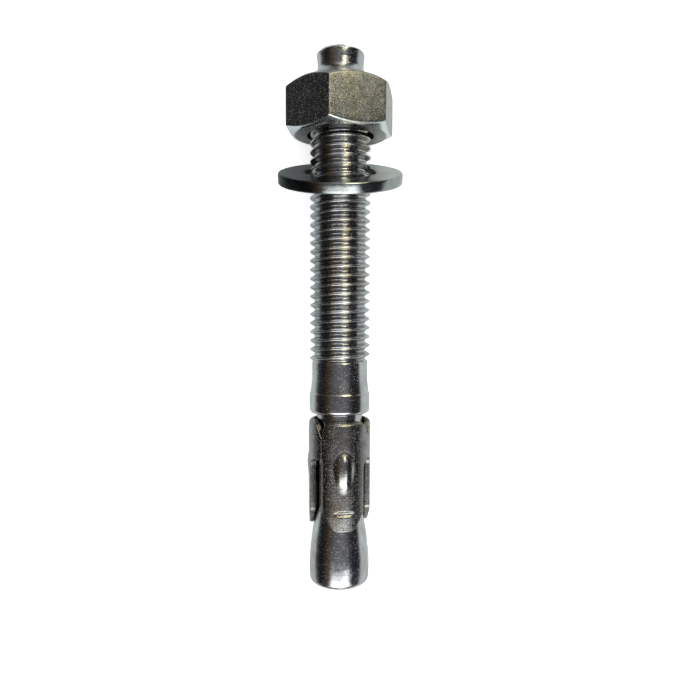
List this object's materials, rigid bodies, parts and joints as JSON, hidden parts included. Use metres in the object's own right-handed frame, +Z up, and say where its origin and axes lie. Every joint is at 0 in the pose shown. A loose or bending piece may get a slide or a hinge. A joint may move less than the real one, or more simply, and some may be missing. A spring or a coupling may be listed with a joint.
{
  "type": "wedge anchor",
  "caption": "Zinc-plated steel wedge anchor: threaded stud with a cone end, a slotted expansion clip round its neck, a washer and a hex nut.",
  "frame": {"origin": "on the surface that the anchor lies on, under the middle of the anchor", "axes": "+Z up; +Y along the anchor as seen from above, from its cone end to its nut end; the stud's own axis rises by about 4 degrees towards +Y, because the anchor rests on its washer's rim and its cone end; +X to the right"},
  "size_m": [0.028, 0.1204, 0.0269],
  "materials": {
    "stud_zinc": "bright zinc",
    "clip_zinc": "dull zinc",
    "washer_zinc": "satin zinc",
    "nut_zinc": "satin zinc"
  },
  "bodies": {
    "stud": {"anchor_stud": "stud_zinc"},
    "clip": {"expansion_clip": "clip_zinc"},
    "washer": {"flat_washer": "washer_zinc"},
    "nut": {"hex_nut": "nut_zinc"}
  },
  "joints": [
    {"name": "nut_travel", "type": "slide", "parent": "stud", "child": "washer", "axis": [0, 0.9976, 0.069], "range_m": [-0.04401, 0.01201]},
    {"name": "nut_turn", "type": "hinge", "parent": "washer", "child": "nut", "pos_m": [0, 0.04172, 0.01376], "axis": [0, 0.9976, 0.069], "range_deg": [-7920, 2160]},
    {"name": "clip_slide", "type": "slide", "parent": "stud", "child": "clip", "axis": [0, 0.9976, 0.069], "range_m": [0, 0.0013]}
  ],
  "couplings": [
    {"joint": "nut_travel", "follows": "nut_turn", "m_per_rad": 0.00031831}
  ]
}
